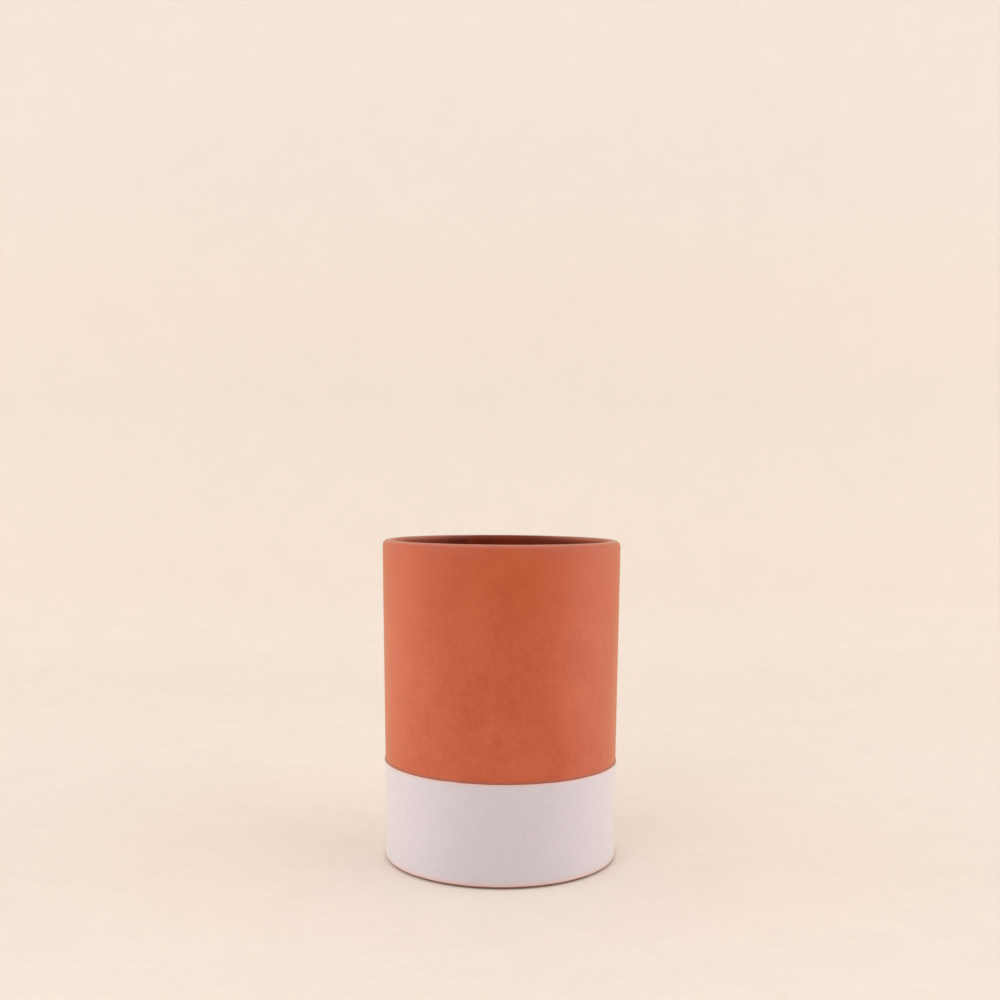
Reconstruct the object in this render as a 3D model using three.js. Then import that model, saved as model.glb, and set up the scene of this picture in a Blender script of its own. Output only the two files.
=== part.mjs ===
// Ceramic tube vase: a tapered terracotta tube luted onto a clay base, with a white glaze
// band dipped round its lower part and a clear glaze lining poured inside.
// Millimetres, +Z up. The origin is the centre of the foot, on the surface it stands on.

import * as THREE from 'three';

// Overall form
const HEIGHT = 132.4; // foot to the crown of the lip
const RIM_DIAMETER = 100; // outside, just under the lip
const FOOT_DIAMETER = 95.2; // outside, at the foot: the wall leans out by about a degree
const WALL = 5; // thickness of the tube

// Clay base, with its foot ring and the step that the tube stands on
const FLOOR_THICKNESS = 5.4; // over the hollow
const FOOT_RECESS = 1.6; // hollow under the base, so that it stands on a ring
const FOOT_RING_WIDTH = 7; // from the outside of the foot to the hollow
const RECESS_SLOPE = 2.2; // width of the slope from the ring up into the hollow
const SPIGOT_RISE = 2.5; // how far the floor stands up inside the tube
const HEEL_ROUND = 1.1; // worn round on the bottom outside edge

// Coil of clay smoothed into the corner between floor and wall
const COIL_REACH = 6; // along the floor and up the wall
const COIL_EDGE = 0.4; // blunt thickness where the coil feathers out

// Glazes
const WHITE_LINE_HEIGHT = 40.5; // middle height of the line where the white begins
const WHITE_LINE_TILT = 0.27; // degrees: the pot was dipped a little off level
const BARE_HEEL = 1; // clay wiped clean between the white and the table
const WHITE_THICKNESS = 0.35;
const CLEAR_THICKNESS = 0.3;
const CLEAR_OVER_LIP = 58; // degrees round the inner side of the lip that the lining climbs

// Clearances
const SLIP_JOINT = 0.15; // film of slip between tube and base
const BOND = 0.05; // between a glaze, or the coil, and the clay that carries it

// Fineness
const ROUND_STEPS = 96; // flats round the vase
const LIP_STEPS = 10; // flats over the round of the lip
const CORNER_STEPS = 5; // flats in each small round

// Levels and radii that follow from the sizes
const LIP_RADIUS = WALL / 2; // the lip is rolled fully round
const LIP_CENTRE = HEIGHT - LIP_RADIUS;
const FLOOR_TOP = FOOT_RECESS + FLOOR_THICKNESS;
const SEAT_HEIGHT = FLOOR_TOP - SPIGOT_RISE; // ledge under the end of the tube
const COIL_FLOOR = FLOOR_TOP + BOND; // the coil and the lining lie on the floor
const COIL_TOP = COIL_FLOOR + COIL_REACH;
const COIL_START = inside(FLOOR_TOP) - BOND - COIL_REACH; // radius where the coil begins

const TERRACOTTA = { color: 0xc05b3f, roughness: 0.85, metalness: 0 };
const BARE_CLAY = { color: 0xb8583d, roughness: 0.9, metalness: 0 };
const WHITE_GLAZE = { color: 0xded2d2, roughness: 0.6, metalness: 0 };
const CLEAR_GLAZE = { color: 0x6a2a1c, roughness: 0.2, metalness: 0 };

// Radius of the outside of the clay at a height, on the straight side
function outside(z) {
  return (FOOT_DIAMETER + (RIM_DIAMETER - FOOT_DIAMETER) * (z / LIP_CENTRE)) / 2;
}

// Radius of the inside of the tube at a height
function inside(z) {
  return outside(z) - WALL;
}

function point(radius, z) {
  return new THREE.Vector2(radius, z);
}

// Points of a profile on an arc about (radius, z), from one angle to another in degrees
function arc(radius, z, reach, from, to, steps = CORNER_STEPS) {
  const points = [];
  for (let i = 0; i <= steps; i++) {
    const angle = THREE.MathUtils.degToRad(from + ((to - from) * i) / steps);
    points.push(point(radius + reach * Math.cos(angle), z + reach * Math.sin(angle)));
  }
  return points;
}

// A profile turned round the axis of the vase. A ring's profile is closed by its first point.
function turned(profile) {
  const closed = profile[0].x > 0 ? [...profile, profile[0].clone()] : profile;
  return new THREE.LatheGeometry(closed, ROUND_STEPS).rotateX(Math.PI / 2);
}

function piece(name, geometry, finish) {
  const mesh = new THREE.Mesh(geometry, new THREE.MeshStandardMaterial(finish));
  mesh.name = name;
  return mesh;
}

// The tapered tube, from the ledge of the base to the fully rounded lip
function clayTube() {
  const bottom = SEAT_HEIGHT + SLIP_JOINT;
  return turned([
    point(inside(bottom), bottom),
    point(outside(bottom), bottom),
    ...arc(outside(LIP_CENTRE) - LIP_RADIUS, LIP_CENTRE, LIP_RADIUS, 0, 180, LIP_STEPS),
  ]);
}

// The base: a foot ring round a shallow hollow, a ledge for the tube, and a raised floor
// that fits inside it
function clayBase() {
  const spigot = inside(SEAT_HEIGHT) - SLIP_JOINT;
  const ringInner = outside(0) - FOOT_RING_WIDTH;
  return turned([
    point(0, FOOT_RECESS),
    point(ringInner - RECESS_SLOPE, FOOT_RECESS),
    point(ringInner, 0),
    ...arc(outside(HEEL_ROUND) - HEEL_ROUND, HEEL_ROUND, HEEL_ROUND, -90, 0),
    point(outside(SEAT_HEIGHT), SEAT_HEIGHT),
    point(spigot, SEAT_HEIGHT),
    point(spigot, FLOOR_TOP),
    point(0, FLOOR_TOP),
  ]);
}

// The hollow side of the coil, from the floor up to the wall, moved out by a thickness
function coilFace(thickness) {
  return arc(COIL_START, COIL_TOP, COIL_REACH - COIL_EDGE - thickness, -90, 0);
}

// The coil: hollow towards the inside of the vase, square to the floor and the wall
function cornerCoil() {
  return turned([
    point(COIL_START, COIL_FLOOR),
    point(inside(COIL_FLOOR) - BOND, COIL_FLOOR),
    point(inside(COIL_TOP) - BOND, COIL_TOP),
    ...coilFace(0).reverse(),
  ]);
}

// One face of the lining: over the floor, up the coil and the wall, and round part of the lip
function liningFace(thickness) {
  const step = COIL_EDGE + BOND;
  const above = COIL_TOP + 2 * step;
  const lipReach = LIP_RADIUS + BOND + thickness;
  return [
    point(0, COIL_FLOOR + thickness),
    point(COIL_START - step, COIL_FLOOR + thickness),
    ...coilFace(BOND + thickness),
    point(inside(above) - BOND - thickness, above),
    ...arc(outside(LIP_CENTRE) - LIP_RADIUS, LIP_CENTRE, lipReach, 180, 180 - CLEAR_OVER_LIP),
  ];
}

// The lining: a thin cup of glaze between two such faces
function clearGlazeLining() {
  return turned([...liningFace(0), ...liningFace(CLEAR_THICKNESS).reverse()]);
}

// The white band: a skin on the outside, rounded off at the line and above the heel
function whiteGlazeBand() {
  const half = WHITE_THICKNESS / 2;
  const middle = (z) => outside(z) + BOND + half;
  const low = BARE_HEEL + half;
  const high = WHITE_LINE_HEIGHT - half;
  const band = turned([
    ...arc(middle(low), low, half, 180, 360),
    ...arc(middle(high), high, half, 0, 180),
  ]);
  return leaned(band, low, high);
}

// Lifts one side of a band's upper line and lowers the other, and leaves its foot level
function leaned(geometry, low, high) {
  const slope = Math.tan(THREE.MathUtils.degToRad(WHITE_LINE_TILT));
  const places = geometry.getAttribute('position');
  for (let i = 0; i < places.count; i++) {
    const share = THREE.MathUtils.clamp((places.getZ(i) - low) / (high - low), 0, 1);
    places.setZ(i, places.getZ(i) - slope * share * places.getX(i));
  }
  return geometry;
}

const vase = new THREE.Group();
vase.add(
  piece('clay_base', clayBase(), BARE_CLAY),
  piece('clay_tube', clayTube(), TERRACOTTA),
  piece('corner_coil', cornerCoil(), BARE_CLAY),
  piece('clear_glaze_lining', clearGlazeLining(), CLEAR_GLAZE),
  piece('white_glaze_band', whiteGlazeBand(), WHITE_GLAZE),
);

export default vase;
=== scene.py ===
"""The looks of a ceramic tube vase: terracotta, dipped in white round its lower part and
glazed inside, on a sweep of pale paper. Metres, +Z up. The vase stands at the origin, and
the camera looks along +Y."""

import math
import random

import bpy
from mathutils import Matrix, Vector


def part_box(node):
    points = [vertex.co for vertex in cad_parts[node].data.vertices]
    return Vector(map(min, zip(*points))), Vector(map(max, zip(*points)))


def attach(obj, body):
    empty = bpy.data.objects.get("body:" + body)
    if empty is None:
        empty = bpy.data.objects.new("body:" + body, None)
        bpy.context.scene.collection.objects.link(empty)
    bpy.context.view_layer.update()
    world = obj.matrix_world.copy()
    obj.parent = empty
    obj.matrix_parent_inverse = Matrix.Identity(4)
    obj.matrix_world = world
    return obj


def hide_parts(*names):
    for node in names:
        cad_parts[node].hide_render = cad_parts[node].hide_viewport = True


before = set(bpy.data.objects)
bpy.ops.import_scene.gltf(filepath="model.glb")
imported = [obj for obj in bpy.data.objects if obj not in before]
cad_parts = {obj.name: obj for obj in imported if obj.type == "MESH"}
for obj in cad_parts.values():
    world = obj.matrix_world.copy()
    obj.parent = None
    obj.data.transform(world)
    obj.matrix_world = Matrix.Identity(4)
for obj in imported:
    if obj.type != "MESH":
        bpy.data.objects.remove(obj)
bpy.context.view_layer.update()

# Sizes from the frame
BASE_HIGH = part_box("clay_base")[1]
TUBE_LOW, TUBE_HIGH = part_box("clay_tube")
COIL_LOW, COIL_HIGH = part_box("corner_coil")
BAND_LOW, BAND_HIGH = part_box("white_glaze_band")

# Sizes that the frame's boxes don't give
WALL = 0.005
SLIP_JOINT = 0.00015  # between tube and base
BOND = 0.00005  # between a glaze, or the coil, and its clay
FOOT_RECESS = 0.0016
FOOT_RING_WIDTH = 0.007
RECESS_SLOPE = 0.0022
HEEL_ROUND = 0.0011
COIL_EDGE = 0.0004
WHITE_THICKNESS = 0.00035
CLEAR_THICKNESS = 0.0003
CLEAR_OVER_LIP = 58  # degrees, where it climbs the most
WHITE_TILT = 0.0047  # rise of the dipped line over its run, up to the left

# What follows from them
HEIGHT = TUBE_HIGH.z
RIM_RADIUS = TUBE_HIGH.x
LIP_RADIUS = WALL / 2
LIP_CENTRE = HEIGHT - LIP_RADIUS
LIP_MIDDLE = RIM_RADIUS - LIP_RADIUS  # radius of the crown of the lip
FLOOR_TOP = BASE_HIGH.z
SEAT = TUBE_LOW.z - SLIP_JOINT
LEAN = (RIM_RADIUS - BASE_HIGH.x) / (LIP_CENTRE - SEAT)  # of the wall, outwards
COIL_REACH = COIL_HIGH.z - COIL_LOW.z
DIP_MIDDLE = BAND_HIGH.z - WHITE_TILT * BAND_HIGH.x  # height of the dipped line at the front

# Marks of the hand
OUT_OF_ROUND = 0.00006
RIM_TILT = 0.0017  # fall of the rim over its run, down to the right
RIM_WAVE = 0.00008
DIP_WAVE = 0.00007
NICK_HEIGHT = 0.00018  # small rise in the dipped line, left of the front
NICK_TURN = math.radians(-112.8)
NICK_WIDTH = math.radians(3.5)
GLAZE_BEAD = 0.00010  # extra thickness at the edge of the white
BEAD_DEPTH = 0.0012
LINING_WAVE = 5  # degrees round the lip
LINING_RUN = 10  # degrees more that the lining climbs at one place, at the back
LINING_RUN_TURN = math.radians(86)
LINING_RUN_WIDTH = math.radians(20)

# Fineness
ROUND_STEPS = 384
LIP_STEPS = 28
CORNER_STEPS = 12
LONGEST_STEP = 0.003  # up a straight side
SHARP = math.radians(40)  # a bend past this stays an edge


# Shapes of the vase


def waves(seed, lobes, size):
    """A closed wavy line round the pot: a function of the turn, from -size to size."""
    source = random.Random(seed)
    parts = [(n, source.uniform(0.5, 1), source.uniform(0, math.tau)) for n in lobes]
    total = sum(weight for _, weight, _ in parts)

    def height(turn):
        heights = [weight * math.sin(n * turn + start) for n, weight, start in parts]
        return size * sum(heights) / total

    return height


round_wave = waves(seed=3, lobes=(2, 3, 5), size=OUT_OF_ROUND / 2)
rim_wave = waves(seed=11, lobes=(2, 3, 5, 8, 13), size=RIM_WAVE / 2)
dip_wave = waves(seed=5, lobes=(2, 4, 7, 11, 19, 31), size=DIP_WAVE)
heel_wave = waves(seed=8, lobes=(3, 5, 9, 14, 23), size=DIP_WAVE)
lining_wave = waves(seed=21, lobes=(3, 5, 8, 13, 21), size=LINING_WAVE)


def outside(height):
    return BASE_HIGH.x + LEAN * (height - SEAT)


def inside(height):
    return outside(height) - WALL


def arc(radius, height, reach, start, end, steps):
    """Points of a profile on an arc about (radius, height), between angles in degrees."""
    points = []
    for i in range(steps + 1):
        angle = math.radians(start + (end - start) * i / steps)
        points.append((radius + reach * math.cos(angle), height + reach * math.sin(angle)))
    return points


def steps_along(profile):
    """How many steps each side of the profile is cut into, so that none is long."""
    sides = zip(profile, profile[1:])
    return [max(1, math.ceil(math.dist(start, end) / LONGEST_STEP)) for start, end in sides]


def cut_up(profile, steps):
    """The profile's points with the steps between them, without the last point."""
    points = []
    for (r0, z0), (r1, z1), count in zip(profile, profile[1:], steps):
        for i in range(count):
            share = i / count
            points.append((r0 + (r1 - r0) * share, z0 + (z1 - z0) * share))
    return points


def handled(radius, height, turn):
    """Where a point of a true turning lies on a pot that was made by hand. It is never
    outside the true one."""
    share = height / HEIGHT
    radius += (round_wave(turn) - OUT_OF_ROUND / 2) * share * radius / RIM_RADIUS
    across = radius * math.cos(turn)
    fall = RIM_TILT * (RIM_RADIUS + across) + RIM_WAVE / 2 - rim_wave(turn)
    return (across, radius * math.sin(turn), height - fall * share**2)


def new_piece(name, points, faces):
    mesh = bpy.data.meshes.new(name)
    mesh.from_pydata(points, [], faces)
    mesh.shade_smooth()
    piece = bpy.data.objects.new(name, mesh)
    bpy.context.scene.collection.objects.link(piece)
    return piece


def faces_between(step, count, poles):
    """The faces between one ring of points and the next. The poles are the two points on
    the axis, or none for a piece with a hole down its middle."""
    here = step * count
    there = (step + 1) % ROUND_STEPS * count
    faces = []
    for i in range(count - 1 if poles else count):
        after = (i + 1) % count
        faces.append((here + i, there + i, there + after, here + after))
    if poles:
        first, last = poles
        faces.append((first, there, here))
        faces.append((here + count - 1, there + count - 1, last))
    return faces


def turned(name, profile_at):
    """A piece turned round the axis, from a profile that may change with the turn. A
    profile starts and ends on the axis, or else its last point is its first."""
    start, *_, end = profile_at(0)
    on_axis = start[0] == 0
    steps = steps_along(profile_at(0))
    points = []
    for step in range(ROUND_STEPS):
        turn = math.tau * step / ROUND_STEPS
        profile = cut_up(profile_at(turn), steps)
        if on_axis:
            profile = profile[1:]
        points += [handled(radius, height, turn) for radius, height in profile]
    count = len(points) // ROUND_STEPS
    poles = ()
    if on_axis:
        poles = (len(points), len(points) + 1)
        points += [handled(*start, 0), handled(*end, 0)]
    faces = []
    for step in range(ROUND_STEPS):
        faces += faces_between(step, count, poles)
    piece = new_piece(name, points, faces)
    piece.data.set_sharp_from_angle(angle=SHARP)
    return piece


def closed(profile):
    return [*profile, profile[0]]


def tube_profile(turn):
    bottom = TUBE_LOW.z
    lip = outside(LIP_CENTRE) - LIP_RADIUS
    over_lip = arc(lip, LIP_CENTRE, LIP_RADIUS, 0, 180, LIP_STEPS)
    return closed([(inside(bottom), bottom), (outside(bottom), bottom), *over_lip])


def base_profile(turn):
    spigot = inside(SEAT) - SLIP_JOINT
    ring_inner = outside(0) - FOOT_RING_WIDTH
    heel = arc(outside(HEEL_ROUND) - HEEL_ROUND, HEEL_ROUND, HEEL_ROUND, -90, 0, CORNER_STEPS)
    return [
        (0, FOOT_RECESS),
        (ring_inner - RECESS_SLOPE, FOOT_RECESS),
        (ring_inner, 0),
        *heel,
        (outside(SEAT), SEAT),
        (spigot, SEAT),
        (spigot, FLOOR_TOP),
        (0, FLOOR_TOP),
    ]


def coil_start():
    """Radius where the coil begins on the floor."""
    return inside(FLOOR_TOP) - BOND - COIL_REACH


def coil_face(thickness):
    """The hollow side of the coil, from the floor up to the wall, moved off the clay by a
    thickness."""
    hollow = COIL_REACH - COIL_EDGE - thickness
    return arc(coil_start(), COIL_HIGH.z, hollow, -90, 0, CORNER_STEPS)


def coil_profile(turn):
    return closed([
        (coil_start(), COIL_LOW.z),
        (inside(COIL_LOW.z) - BOND, COIL_LOW.z),
        (inside(COIL_HIGH.z) - BOND, COIL_HIGH.z),
        *reversed(coil_face(0)),
    ])


def climb(turn):
    """How far round the inner side of the lip the lining goes, in degrees."""
    away = math.remainder(turn - LINING_RUN_TURN, math.tau) / LINING_RUN_WIDTH
    return CLEAR_OVER_LIP - LINING_RUN * (1 - math.exp(-away * away)) + lining_wave(turn)


def lining_face(thickness, turn):
    """One face of the lining: over the floor, up the coil and the wall, and on to the lip."""
    step = COIL_EDGE + BOND
    above = COIL_HIGH.z + 2 * step
    reach = LIP_RADIUS + BOND + thickness
    lip = outside(LIP_CENTRE) - LIP_RADIUS
    end = 180 - climb(turn)
    return [
        (0, COIL_LOW.z + thickness),
        (coil_start() - step, COIL_LOW.z + thickness),
        *coil_face(BOND + thickness),
        (inside(above) - BOND - thickness, above),
        *arc(lip, LIP_CENTRE, reach, 180, end, CORNER_STEPS),
    ]


def lining_profile(turn):
    return [*lining_face(0, turn), *reversed(lining_face(CLEAR_THICKNESS, turn))]


def dip_line(turn):
    """Height of the line where the white begins."""
    away = math.remainder(turn - NICK_TURN, math.tau) / NICK_WIDTH
    tilt = -WHITE_TILT * BAND_HIGH.x * math.cos(turn)
    return DIP_MIDDLE + tilt + dip_wave(turn) + NICK_HEIGHT * math.exp(-away * away)


def band_profile(turn):
    half = WHITE_THICKNESS / 2
    bead = half + GLAZE_BEAD / 2
    low = BAND_LOW.z + half + DIP_WAVE + heel_wave(turn)
    high = dip_line(turn) - bead
    below = high - BEAD_DEPTH

    def middle(height, thickness):
        return outside(height) + BOND + thickness

    return closed([
        *arc(middle(low, half), low, half, 180, 360, CORNER_STEPS),
        (outside(below) + BOND + WHITE_THICKNESS, below),
        *arc(middle(high, bead), high, bead, 0, 180, CORNER_STEPS),
    ])


# Nodes

# Sockets of a mix node for colours
MIX_SHARE = 0
MIX_FIRST = 6
MIX_SECOND = 7
MIX_COLOUR = 2

# Values between which most of a noise lies
USUAL = (0.3, 0.7)
WIDE = (0.25, 0.75)


def node(tree, kind, inputs=None, out=0, **settings):
    """Adds a node, sets or joins its inputs, and returns one of its outputs, if any."""
    made = tree.nodes.new(kind)
    for key, value in settings.items():
        setattr(made, key, value)
    for key, value in (inputs or {}).items():
        if isinstance(value, bpy.types.NodeSocket):
            tree.links.new(value, made.inputs[key])
        else:
            made.inputs[key].default_value = value
    return made.outputs[out] if made.outputs else None


def maths(tree, operation, *values):
    return node(tree, "ShaderNodeMath", dict(enumerate(values)), operation=operation)


def product(tree, first, second):
    return maths(tree, "MULTIPLY", first, second)


def place(tree):
    """Where a point of the surface is, from the centre of the foot."""
    return node(tree, "ShaderNodeTexCoord", out="Object")


def along(tree, axis):
    """How far a point is from the centre of the foot, along X, Y or Z."""
    return node(tree, "ShaderNodeSeparateXYZ", {"Vector": place(tree)}, axis)


def off_centre(tree):
    """How far a point is from the axis of the vase along X, to either side."""
    return maths(tree, "ABSOLUTE", along(tree, "X"))


def axis_distance(tree):
    """How far a point is from the axis of the vase, in any direction."""
    level = node(tree, "ShaderNodeMapping", {"Vector": place(tree), "Scale": (1, 1, 0)})
    return node(tree, "ShaderNodeVectorMath", {0: level}, "Value", operation="LENGTH")


def above_dip(tree):
    """The height of a point over the middle of the line where the white begins."""
    height = maths(tree, "MULTIPLY_ADD", along(tree, "X"), WHITE_TILT, along(tree, "Z"))
    return maths(tree, "SUBTRACT", height, DIP_MIDDLE)


def noise(tree, size, detail=2, rough=0.5, stretch=(1, 1, 1)):
    """Noise whose blotches are about size across."""
    scaled = node(tree, "ShaderNodeMapping", {"Vector": place(tree), "Scale": stretch})
    inputs = {"Vector": scaled, "Scale": 1 / size, "Detail": detail, "Roughness": rough}
    return node(tree, "ShaderNodeTexNoise", inputs, "Fac")


def turning_marks(tree, width, detail, rough):
    """Rings round the axis, about width apart, as a turning tool leaves them."""
    away = axis_distance(tree)
    inputs = {"W": away, "Scale": 1 / width, "Detail": detail, "Roughness": rough}
    return node(tree, "ShaderNodeTexNoise", inputs, "Fac", noise_dimensions="1D")


def specks(tree, spacing, reach):
    """Sparse round specks, 1 in the middle and 0 outside. The reach of the largest is given
    as a share of their spacing."""
    inputs = {"Vector": place(tree), "Scale": 1 / spacing, "Randomness": 1.0}
    away = node(tree, "ShaderNodeTexVoronoi", inputs, "Distance")
    return ranged(tree, away, reach, 0)


def ranged(tree, value, low, high, to_low=0, to_high=1):
    """Maps low to high onto to_low to to_high, with soft ends."""
    inputs = {
        "Value": value,
        "From Min": low,
        "From Max": high,
        "To Min": to_low,
        "To Max": to_high,
    }
    return node(tree, "ShaderNodeMapRange", inputs, interpolation_type="SMOOTHSTEP")


def mark(tree, value, start, full, most=1):
    """How strong a mark is: none at its start, and most where it is full."""
    return ranged(tree, value, start, full, 0, most)


def summed(tree, noises, weights):
    """Adds up noises, each by its weight, about a half."""
    total = 0.5 - sum(weights) / 2
    for value, weight in zip(noises, weights):
        total = maths(tree, "MULTIPLY_ADD", ranged(tree, value, *WIDE), weight, total)
    return total


def opaque(colour):
    """A written colour with its alpha. A socket stays as it is."""
    return (*colour, 1) if isinstance(colour, tuple) else colour


def mixed(tree, share, first, second):
    """The first colour at a share of 0 and the second at 1. Each is written or a socket."""
    inputs = {MIX_SHARE: share, MIX_FIRST: opaque(first), MIX_SECOND: opaque(second)}
    return node(tree, "ShaderNodeMix", inputs, MIX_COLOUR, data_type="RGBA")


def ramped(tree, height, stops):
    """Colours that change with the height, each given with its height."""
    top = stops[-1][1]
    made = tree.nodes.new("ShaderNodeValToRGB")
    tree.links.new(product(tree, height, 1 / top), made.inputs[0])
    elements = made.color_ramp.elements
    while len(elements) < len(stops):
        elements.new(0.5)
    for element, (colour, level) in zip(elements, stops):
        element.position = level / top
        element.color = opaque(colour)
    return made.outputs[0]


def relief(tree, *layers):
    """The normal of a surface that noises lift, each by its depth."""
    below = {}
    for height, depth in layers:
        inputs = {"Height": height, "Distance": depth, "Strength": 1, **below}
        below = {"Normal": node(tree, "ShaderNodeBump", inputs)}
    return below["Normal"]


def new_material(name):
    material = bpy.data.materials.new(name)
    material.use_nodes = True
    material.node_tree.nodes.clear()
    return material, material.node_tree


def finished(tree, **inputs):
    """Gives the material its shader, with the inputs named as in Blender."""
    named = {key.replace("_", " "): value for key, value in inputs.items()}
    shader = node(tree, "ShaderNodeBsdfPrincipled", named)
    node(tree, "ShaderNodeOutputMaterial", {"Surface": shader})


# Materials. Colours are linear light. Noises are given by size, detail and roughness, and
# marks by where they start, where they are full and how strong they are there.

GROG_DARK = (0.240, 0.050, 0.0250)  # coarse grains in the clay

# Terracotta
TERRACOTTA_PALE = (0.545, 0.1160, 0.0445)
TERRACOTTA_DEEP = (0.440, 0.0665, 0.0160)
CLAY_DUST = (0.60, 1.00, 0.56)  # seen along the surface, at its edges
# The clay is darker towards the rim, over its top 45 mm.
DARKER_UNDER_RIM = (0.450, 0.074, 0.0130)  # the clay just under the rim
BLOOM = (0.420, 0.100, 0.0680)
# Paler crown of the lip: partly wear, partly a painted highlight.
WORN_LIP_AND_HIGHLIGHT = (0.525, 0.146, 0.1000)
# The inner side of the lip is darker and greyer, but not at its two ends along X, which stay
# lighter as painted light.
INNER_LIP_DARK = (0.380, 0.134, 0.0960)
# A thin darker line on the clay just above the white: painted shade along the edge of the
# glaze.
SHADE_ABOVE_DIP = (0.330, 0.105, 0.0750)
CLAY_CLOUDS = (0.030, 2)
CLAY_MOTTLE = (0.009, 5, 0.75)
CLAY_GRAIN = (0.0014, 3, 0.8)
CLAY_RINGS = (0.0011, 2, 0.5, (0.04, 0.04, 1))  # and drawn out level
CLAY_WEIGHTS = (0.4, 0.5, 0.35)  # of clouds, mottle and grain in the colour
BLOOM_PATCHES = (0.008, 3, 0.6)
DARKER_UNDER_RIM_MARK = (HEIGHT - 0.045, HEIGHT, 0.45)  # by height, as the next three
BLOOM_MARK = (HEIGHT - 0.007, HEIGHT - 0.0025, 0.45)
LIP_WEAR_AND_HIGHLIGHT_MARK = (HEIGHT - 0.0018, HEIGHT - 0.0004, 0.85)
DRY_MARK = (HEIGHT - 0.065, HEIGHT - 0.020, 0.09)  # rougher towards the rim
PATCH_MARK = (0.38, 0.6)  # by the noise
INNER_MARK = (LIP_MIDDLE + 0.0003, LIP_MIDDLE - 0.0006, 0.95)  # by distance from the axis
SIDE_MARK = (0.0485, 0.0400)  # by distance along X
SHADE_ABOVE_DIP_MARK = (0.0015, 0.0001, 0.9)  # by height over the dipped line
CLAY_GROG = (0.0022, 0.10)  # spacing and reach
CLAY_GROG_SHARE = 0.45
CLAY_GRAIN_DEPTH = 0.00006
CLAY_RING_DEPTH = 0.00002
CLAY_MOTTLE_DEPTH = 0.00006
CLAY_ROUGH = (0.46, 0.56)


def marked_terracotta(tree, colour):
    """Puts marks on the clay in turn: darker towards the rim, bloom, lip wear with a painted
    highlight, a darker inner lip with its ends left lighter as painted light, painted shade
    above the dipped line, and grog.
    """
    height = along(tree, "Z")
    # Darker towards the rim.
    colour = mixed(tree, mark(tree, height, *DARKER_UNDER_RIM_MARK), colour, DARKER_UNDER_RIM)
    patches = mark(tree, noise(tree, *BLOOM_PATCHES), *PATCH_MARK)
    bloom = product(tree, mark(tree, height, *BLOOM_MARK), patches)
    colour = mixed(tree, bloom, colour, BLOOM)
    # Paler crown of the lip: partly wear, partly a painted highlight.
    colour = mixed(tree, mark(tree, height, *LIP_WEAR_AND_HIGHLIGHT_MARK), colour, WORN_LIP_AND_HIGHLIGHT)
    # The inner side of the lip is darker and greyer, but not at its two ends along X, which
    # stay lighter as painted light.
    inner = mark(tree, axis_distance(tree), *INNER_MARK)
    darker_inner_lip = product(tree, inner, mark(tree, off_centre(tree), *SIDE_MARK))
    colour = mixed(tree, darker_inner_lip, colour, INNER_LIP_DARK)
    # A thin darker line on the clay just above the white: painted shade along the edge of the
    # glaze.
    colour = mixed(tree, mark(tree, above_dip(tree), *SHADE_ABOVE_DIP_MARK), colour, SHADE_ABOVE_DIP)
    grog = product(tree, specks(tree, *CLAY_GROG), CLAY_GROG_SHARE)
    return mixed(tree, grog, colour, GROG_DARK)


def terracotta_material():
    material, tree = new_material("terracotta")
    clouds = noise(tree, *CLAY_CLOUDS)
    mottle = noise(tree, *CLAY_MOTTLE)
    grain = noise(tree, *CLAY_GRAIN)
    rings = noise(tree, *CLAY_RINGS)
    shade = summed(tree, (clouds, mottle, grain), CLAY_WEIGHTS)
    colour = mixed(tree, shade, TERRACOTTA_DEEP, TERRACOTTA_PALE)
    drier = mark(tree, along(tree, "Z"), *DRY_MARK)
    finished(
        tree,
        Base_Color=marked_terracotta(tree, colour),
        Roughness=maths(tree, "ADD", ranged(tree, mottle, *USUAL, *CLAY_ROUGH), drier),
        Normal=relief(
            tree,
            (grain, CLAY_GRAIN_DEPTH),
            (rings, CLAY_RING_DEPTH),
            (mottle, CLAY_MOTTLE_DEPTH),
        ),
        IOR=1.42,
        Sheen_Weight=0.22,
        Sheen_Roughness=0.38,
        Sheen_Tint=opaque(CLAY_DUST),
    )
    return material


# Bare clay of the base and the coil
BARE_CLAY = (0.430, 0.110, 0.0500)
BARE_CLAY_DEEP = (0.360, 0.080, 0.0340)
FOOT_WORN = (0.500, 0.190, 0.1200)
# Painted shade on the outer heel, where the foot meets the floor.
HEEL_SHADE = (0.230, 0.125, 0.0900)
BASE_MOTTLE = (0.005, 4, 0.6)
BASE_GRAIN = (0.0006, 3, 0.65)
BASE_RINGS = (0.0018, 2, 0.6)
FOOT_PATCHES = (0.006, 4, 0.7)
FOOT_MARK = (0.0004, 0.0001, 0.6)  # by height
FOOT_PATCH_MARK = (0.35, 0.6)  # by the noise
HEEL_START = BASE_HIGH.x - 0.0024
HEEL_SHADE_MARK = (HEEL_START, HEEL_START + 0.0012, 0.95)  # by distance from the axis
BASE_GROG = (0.0020, 0.14)  # spacing and reach
BASE_GROG_SHARE = 0.7
BASE_RING_DEPTH = 0.0002
BASE_GRAIN_DEPTH = 0.00012
BASE_MOTTLE_DEPTH = 0.00015
BASE_ROUGH = (0.78, 0.92)


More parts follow.
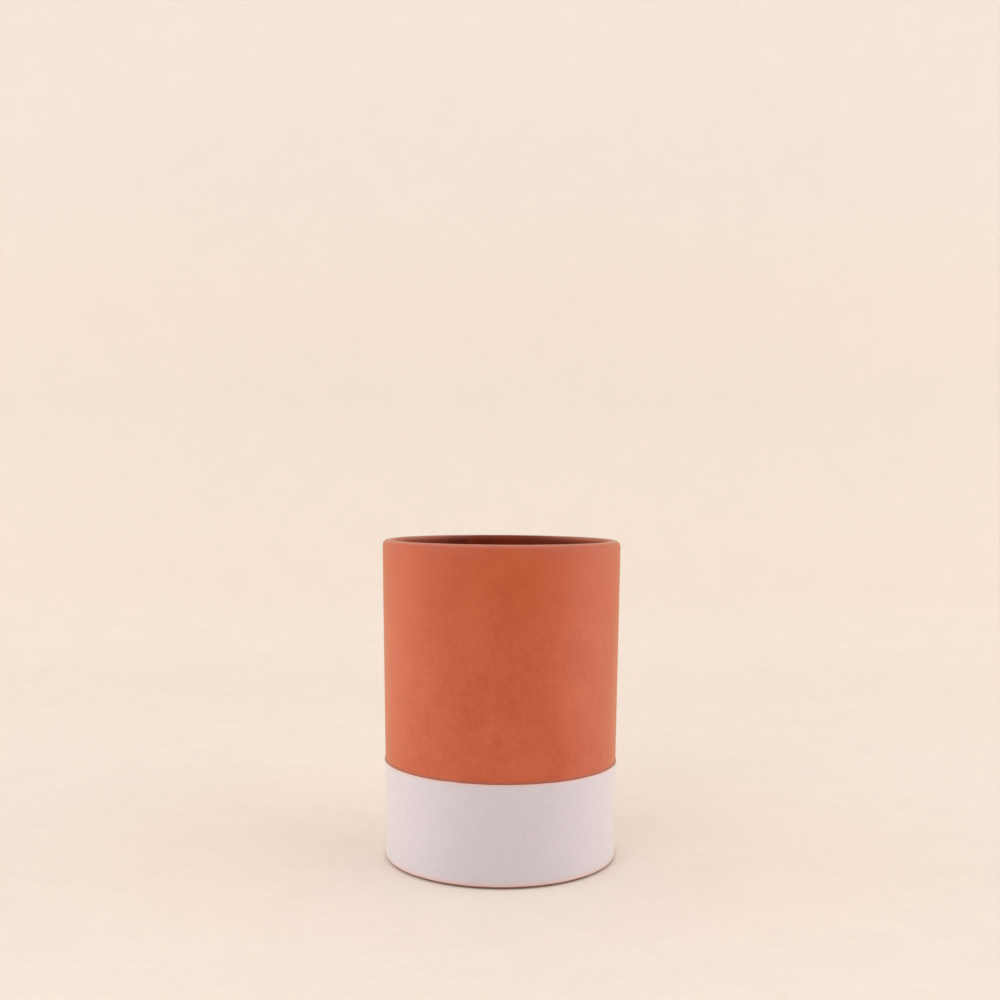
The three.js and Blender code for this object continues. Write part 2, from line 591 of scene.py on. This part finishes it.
def bare_clay_material():
    material, tree = new_material("bare_clay")
    mottle = noise(tree, *BASE_MOTTLE)
    grain = noise(tree, *BASE_GRAIN)
    rings = turning_marks(tree, *BASE_RINGS)
    colour = mixed(tree, ranged(tree, mottle, *USUAL), BARE_CLAY_DEEP, BARE_CLAY)
    patches = mark(tree, noise(tree, *FOOT_PATCHES), *FOOT_PATCH_MARK)
    worn = product(tree, mark(tree, along(tree, "Z"), *FOOT_MARK), patches)
    colour = mixed(tree, worn, colour, FOOT_WORN)
    # Painted shade on the outer heel, where the foot meets the floor.
    colour = mixed(tree, mark(tree, axis_distance(tree), *HEEL_SHADE_MARK), colour, HEEL_SHADE)
    grog = product(tree, specks(tree, *BASE_GROG), BASE_GROG_SHARE)
    finished(
        tree,
        Base_Color=mixed(tree, grog, colour, GROG_DARK),
        Roughness=ranged(tree, grain, *USUAL, *BASE_ROUGH),
        Normal=relief(
            tree,
            (rings, BASE_RING_DEPTH),
            (grain, BASE_GRAIN_DEPTH),
            (mottle, BASE_MOTTLE_DEPTH),
        ),
    )
    return material


# White glaze
WHITE_DEEP = (0.554, 0.497, 0.533)
WHITE_PALE = (0.634, 0.571, 0.603)
WHITE_THIN = (0.690, 0.430, 0.3700)  # the clay shows through
GLAZE_DUST = (1.00, 1.00, 0.72)  # seen along the surface, at its edges
WHITE_CLOUDS = (0.022, 3)
WHITE_MOTTLE = (0.004, 4, 0.7)
WHITE_GRAIN = (0.0013, 3, 0.8)
WHITE_WEIGHTS = (0.15, 0.15, 0.5)  # of clouds, mottle and grain in the colour
WHITE_FOOT_MARK = (BAND_LOW.z + 0.0022, BAND_LOW.z, 0.75)  # by height
WHITE_EDGE_MARK = (-0.0013, -0.0002, 0.8)  # by height over the dipped line
PINHOLES = (0.0045, 0.035)  # spacing and reach
PINHOLE_SHARE = 0.5
WHITE_CLOUD_DEPTH = 0.00005
WHITE_GRAIN_DEPTH = 0.000003
WHITE_ROUGH = (0.285, 0.33)


def white_material():
    material, tree = new_material("white_glaze")
    clouds = noise(tree, *WHITE_CLOUDS)
    mottle = noise(tree, *WHITE_MOTTLE)
    grain = noise(tree, *WHITE_GRAIN)
    shade = summed(tree, (clouds, mottle, grain), WHITE_WEIGHTS)
    colour = mixed(tree, shade, WHITE_DEEP, WHITE_PALE)
    colour = mixed(tree, mark(tree, along(tree, "Z"), *WHITE_FOOT_MARK), colour, WHITE_THIN)
    colour = mixed(tree, mark(tree, above_dip(tree), *WHITE_EDGE_MARK), colour, WHITE_THIN)
    pinholes = product(tree, specks(tree, *PINHOLES), PINHOLE_SHARE)
    finished(
        tree,
        Base_Color=mixed(tree, pinholes, colour, WHITE_THIN),
        Roughness=ranged(tree, clouds, *USUAL, *WHITE_ROUGH),
        Normal=relief(tree, (clouds, WHITE_CLOUD_DEPTH), (grain, WHITE_GRAIN_DEPTH)),
        Sheen_Weight=0.3,
        Sheen_Roughness=0.5,
        Sheen_Tint=opaque(GLAZE_DUST),
    )
    return material


# Clear lining over the clay
LINING = (0.180, 0.021, 0.0040)
LINING_DEEP = (0.125, 0.011, 0.0020)
# The lining is lighter towards both sides along X: painted light.
LINING_SIDES_LIT = (0.260, 0.033, 0.0080)
LINING_THIN = (0.175, 0.040, 0.0220)  # on the lip, front and back
# Lighter on the lip towards both sides along X: partly thinner lining, partly painted light.
LINING_THINNEST_AND_LIT = (0.420, 0.145, 0.0950)  # on the lip, at the sides
LINING_CLOUDS = (0.012, 3)
LINING_POOLS = (0.0045, 3, 0.55)
LINING_GRAIN = (0.0009, 2)
LINING_SIDES_LIT_MARK = (0.020, 0.046)  # by distance along X, as the next
THINNEST_AND_LIT_MARK = (0.010, 0.043)
THIN_MARK = (HEIGHT - 0.0024, HEIGHT - 0.0004, 0.95)  # by height
LINING_POOL_DEPTH = 0.0002
LINING_GRAIN_DEPTH = 0.00002
LINING_ROUGH = (0.46, 0.58)


def lining_material():
    material, tree = new_material("clear_glaze")
    clouds = noise(tree, *LINING_CLOUDS)
    pools = noise(tree, *LINING_POOLS)
    grain = noise(tree, *LINING_GRAIN)
    aside = off_centre(tree)
    colour = mixed(tree, ranged(tree, clouds, *USUAL), LINING_DEEP, LINING)
    # The lining is lighter towards both sides along X: painted light.
    colour = mixed(tree, mark(tree, aside, *LINING_SIDES_LIT_MARK), colour, LINING_SIDES_LIT)
    # Lighter on the lip towards both sides along X: partly thinner lining, partly painted
    # light.
    on_lip = mixed(tree, mark(tree, aside, *THINNEST_AND_LIT_MARK), LINING_THIN, LINING_THINNEST_AND_LIT)
    finished(
        tree,
        Base_Color=mixed(tree, mark(tree, along(tree, "Z"), *THIN_MARK), colour, on_lip),
        Roughness=ranged(tree, pools, *USUAL, *LINING_ROUGH),
        Normal=relief(tree, (pools, LINING_POOL_DEPTH), (grain, LINING_GRAIN_DEPTH)),
        IOR=1.2,
    )
    return material


# Paper, with colours by height up the sweep. It is darker up the curve and the wall, as
# painted shade.
PAPER_COLOURS = (
    ((0.907, 0.798, 0.704), 0),
    ((0.862, 0.740, 0.646), 0.06),
    ((0.803, 0.699, 0.620), 0.25),
    ((0.810, 0.724, 0.658), 0.7),
)
PAPER_FIBRE = (0.640, 0.560, 0.480)
PAPER_BLOTCHES = (0.030, 5, 0.75)
PAPER_FIBRES = (0.004, 3, 0.8)
PAPER_SHADE = 0.12  # share of the fibre's colour, for each noise
PAPER_DEPTH = 0.0001


def paper_material():
    material, tree = new_material("paper")
    blotches = noise(tree, *PAPER_BLOTCHES)
    fibres = noise(tree, *PAPER_FIBRES)
    colour = ramped(tree, along(tree, "Z"), PAPER_COLOURS)
    colour = mixed(tree, mark(tree, blotches, *WIDE, PAPER_SHADE), colour, PAPER_FIBRE)
    colour = mixed(tree, mark(tree, fibres, *WIDE, PAPER_SHADE), colour, PAPER_FIBRE)
    normal = relief(tree, (fibres, PAPER_DEPTH))
    finished(tree, Base_Color=colour, Roughness=0.9, Normal=normal)
    return material


# Putting the vase together


def dress(piece, material, slot, *nodes):
    """The piece gets its material and takes the place of nodes of the frame."""
    piece.data.materials.append(material)
    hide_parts(*nodes)
    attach(piece, "root")


def make_vase():
    bare = bare_clay_material()
    terracotta = terracotta_material()
    dress(turned("base_and_foot", base_profile), bare, "bare_clay", "clay_base")
    dress(turned("terracotta_tube", tube_profile), terracotta, "terracotta", "clay_tube")
    dress(turned("smoothed_coil", coil_profile), bare, "bare_clay", "corner_coil")
    lining = turned("gloss_lining", lining_profile)
    dress(lining, lining_material(), "clear_glaze", "clear_glaze_lining")
    band = turned("white_dipped_band", band_profile)
    dress(band, white_material(), "white_glaze", "white_glaze_band")


# Stage, lights and camera

# Sweep of paper
FLOOR_FRONT = -1.6
FLOOR_BACK = 0.45  # where the sweep starts to climb
SWEEP_RADIUS = 0.35
SWEEP_TOP = 1.8
SWEEP_HALF_WIDTH = 1.6
SWEEP_STEPS = 32

# Lamps: turn to the right of the camera and rise above the floor, in degrees, then
# distance, width, height, and power in watts
LAMPS = {
    "overhead": (0, 89.9, 1.5, 1.3, 1.3, 5.0),
    "window_left": (-35, 25, 1.6, 1.2, 1.2, 7.35),
    "window_right": (53, 35, 1.5, 0.5, 0.5, 2.1),
    "side_left": (-90, 10.5, 2.2, 2.05, 0.8, 23.8),
    "side_right": (90, 10.5, 2.2, 2.05, 0.8, 28.6),
}
ROOM_LIGHT = 0.45

# Camera, fitted to the photograph
LENS = 43.0
SENSOR = 36
CAMERA_PLACE = Vector((0, -0.5037, 0.1542))
CAMERA_PITCH = math.radians(0.606)  # down
CAMERA_YAW = math.radians(0.085)  # to the left
CAMERA_ROLL = math.radians(0.296)  # anticlockwise
CAMERA_NEAR = 0.01
CAMERA_FAR = 20


def make_sweep():
    """The floor, a curve and the wall behind, as one sheet."""
    curve = arc(FLOOR_BACK, SWEEP_RADIUS, SWEEP_RADIUS, -90, 0, SWEEP_STEPS)
    line = [(FLOOR_FRONT, 0), *curve, (FLOOR_BACK + SWEEP_RADIUS, SWEEP_TOP)]
    points = []
    for y, z in line:
        points.append((-SWEEP_HALF_WIDTH, y, z))
        points.append((SWEEP_HALF_WIDTH, y, z))
    faces = [(2 * i, 2 * i + 1, 2 * i + 3, 2 * i + 2) for i in range(len(line) - 1)]
    sweep = new_piece("sweep", points, faces)
    sweep.data.materials.append(paper_material())


def soft_light(name, turn, rise, away, width, height, power):
    """A soft light that faces the middle of the vase."""
    turn = math.radians(turn)
    rise = math.radians(rise)
    level = away * math.cos(rise)
    place = Vector((level * math.sin(turn), -level * math.cos(turn), away * math.sin(rise)))
    lamp = bpy.data.lights.new(name, "AREA")
    lamp.shape = "RECTANGLE"
    lamp.size = width
    lamp.size_y = height
    lamp.energy = power
    holder = bpy.data.objects.new(name, lamp)
    holder.location = place
    aim = Vector((0, 0, HEIGHT / 2)) - place
    holder.rotation_euler = aim.to_track_quat("-Z", "Y").to_euler()
    holder.visible_camera = False
    bpy.context.scene.collection.objects.link(holder)


def make_lights():
    for name, sizes in LAMPS.items():
        soft_light(name, *sizes)


def make_world():
    world = bpy.data.worlds.new("room")
    world.use_nodes = True
    tree = world.node_tree
    tree.nodes.clear()
    room = node(tree, "ShaderNodeBackground", {"Color": (1, 1, 1, 1), "Strength": ROOM_LIGHT})
    node(tree, "ShaderNodeOutputWorld", {"Surface": room})
    bpy.context.scene.world = world


def camera_axes():
    """The camera's own axes, turned about its upright, then down, then about its view."""
    ahead = Vector((-math.sin(CAMERA_YAW), math.cos(CAMERA_YAW), 0))
    right = Vector((math.cos(CAMERA_YAW), math.sin(CAMERA_YAW), 0))
    up = Vector((0, 0, 1))
    view = ahead * math.cos(CAMERA_PITCH) - up * math.sin(CAMERA_PITCH)
    up = right.cross(view)
    rolled_right = right * math.cos(CAMERA_ROLL) + up * math.sin(CAMERA_ROLL)
    rolled_up = rolled_right.cross(view)
    return Matrix((rolled_right, rolled_up, -view)).transposed().to_4x4()


def make_camera():
    data = bpy.data.cameras.new("camera")
    data.lens = LENS
    data.sensor_width = SENSOR
    data.clip_start = CAMERA_NEAR
    data.clip_end = CAMERA_FAR
    camera = bpy.data.objects.new("camera", data)
    camera.matrix_world = Matrix.Translation(CAMERA_PLACE) @ camera_axes()
    bpy.context.scene.collection.objects.link(camera)
    bpy.context.scene.camera = camera


make_vase()
make_sweep()
make_lights()
make_world()
make_camera()
bpy.context.scene.view_settings.view_transform = "Standard"
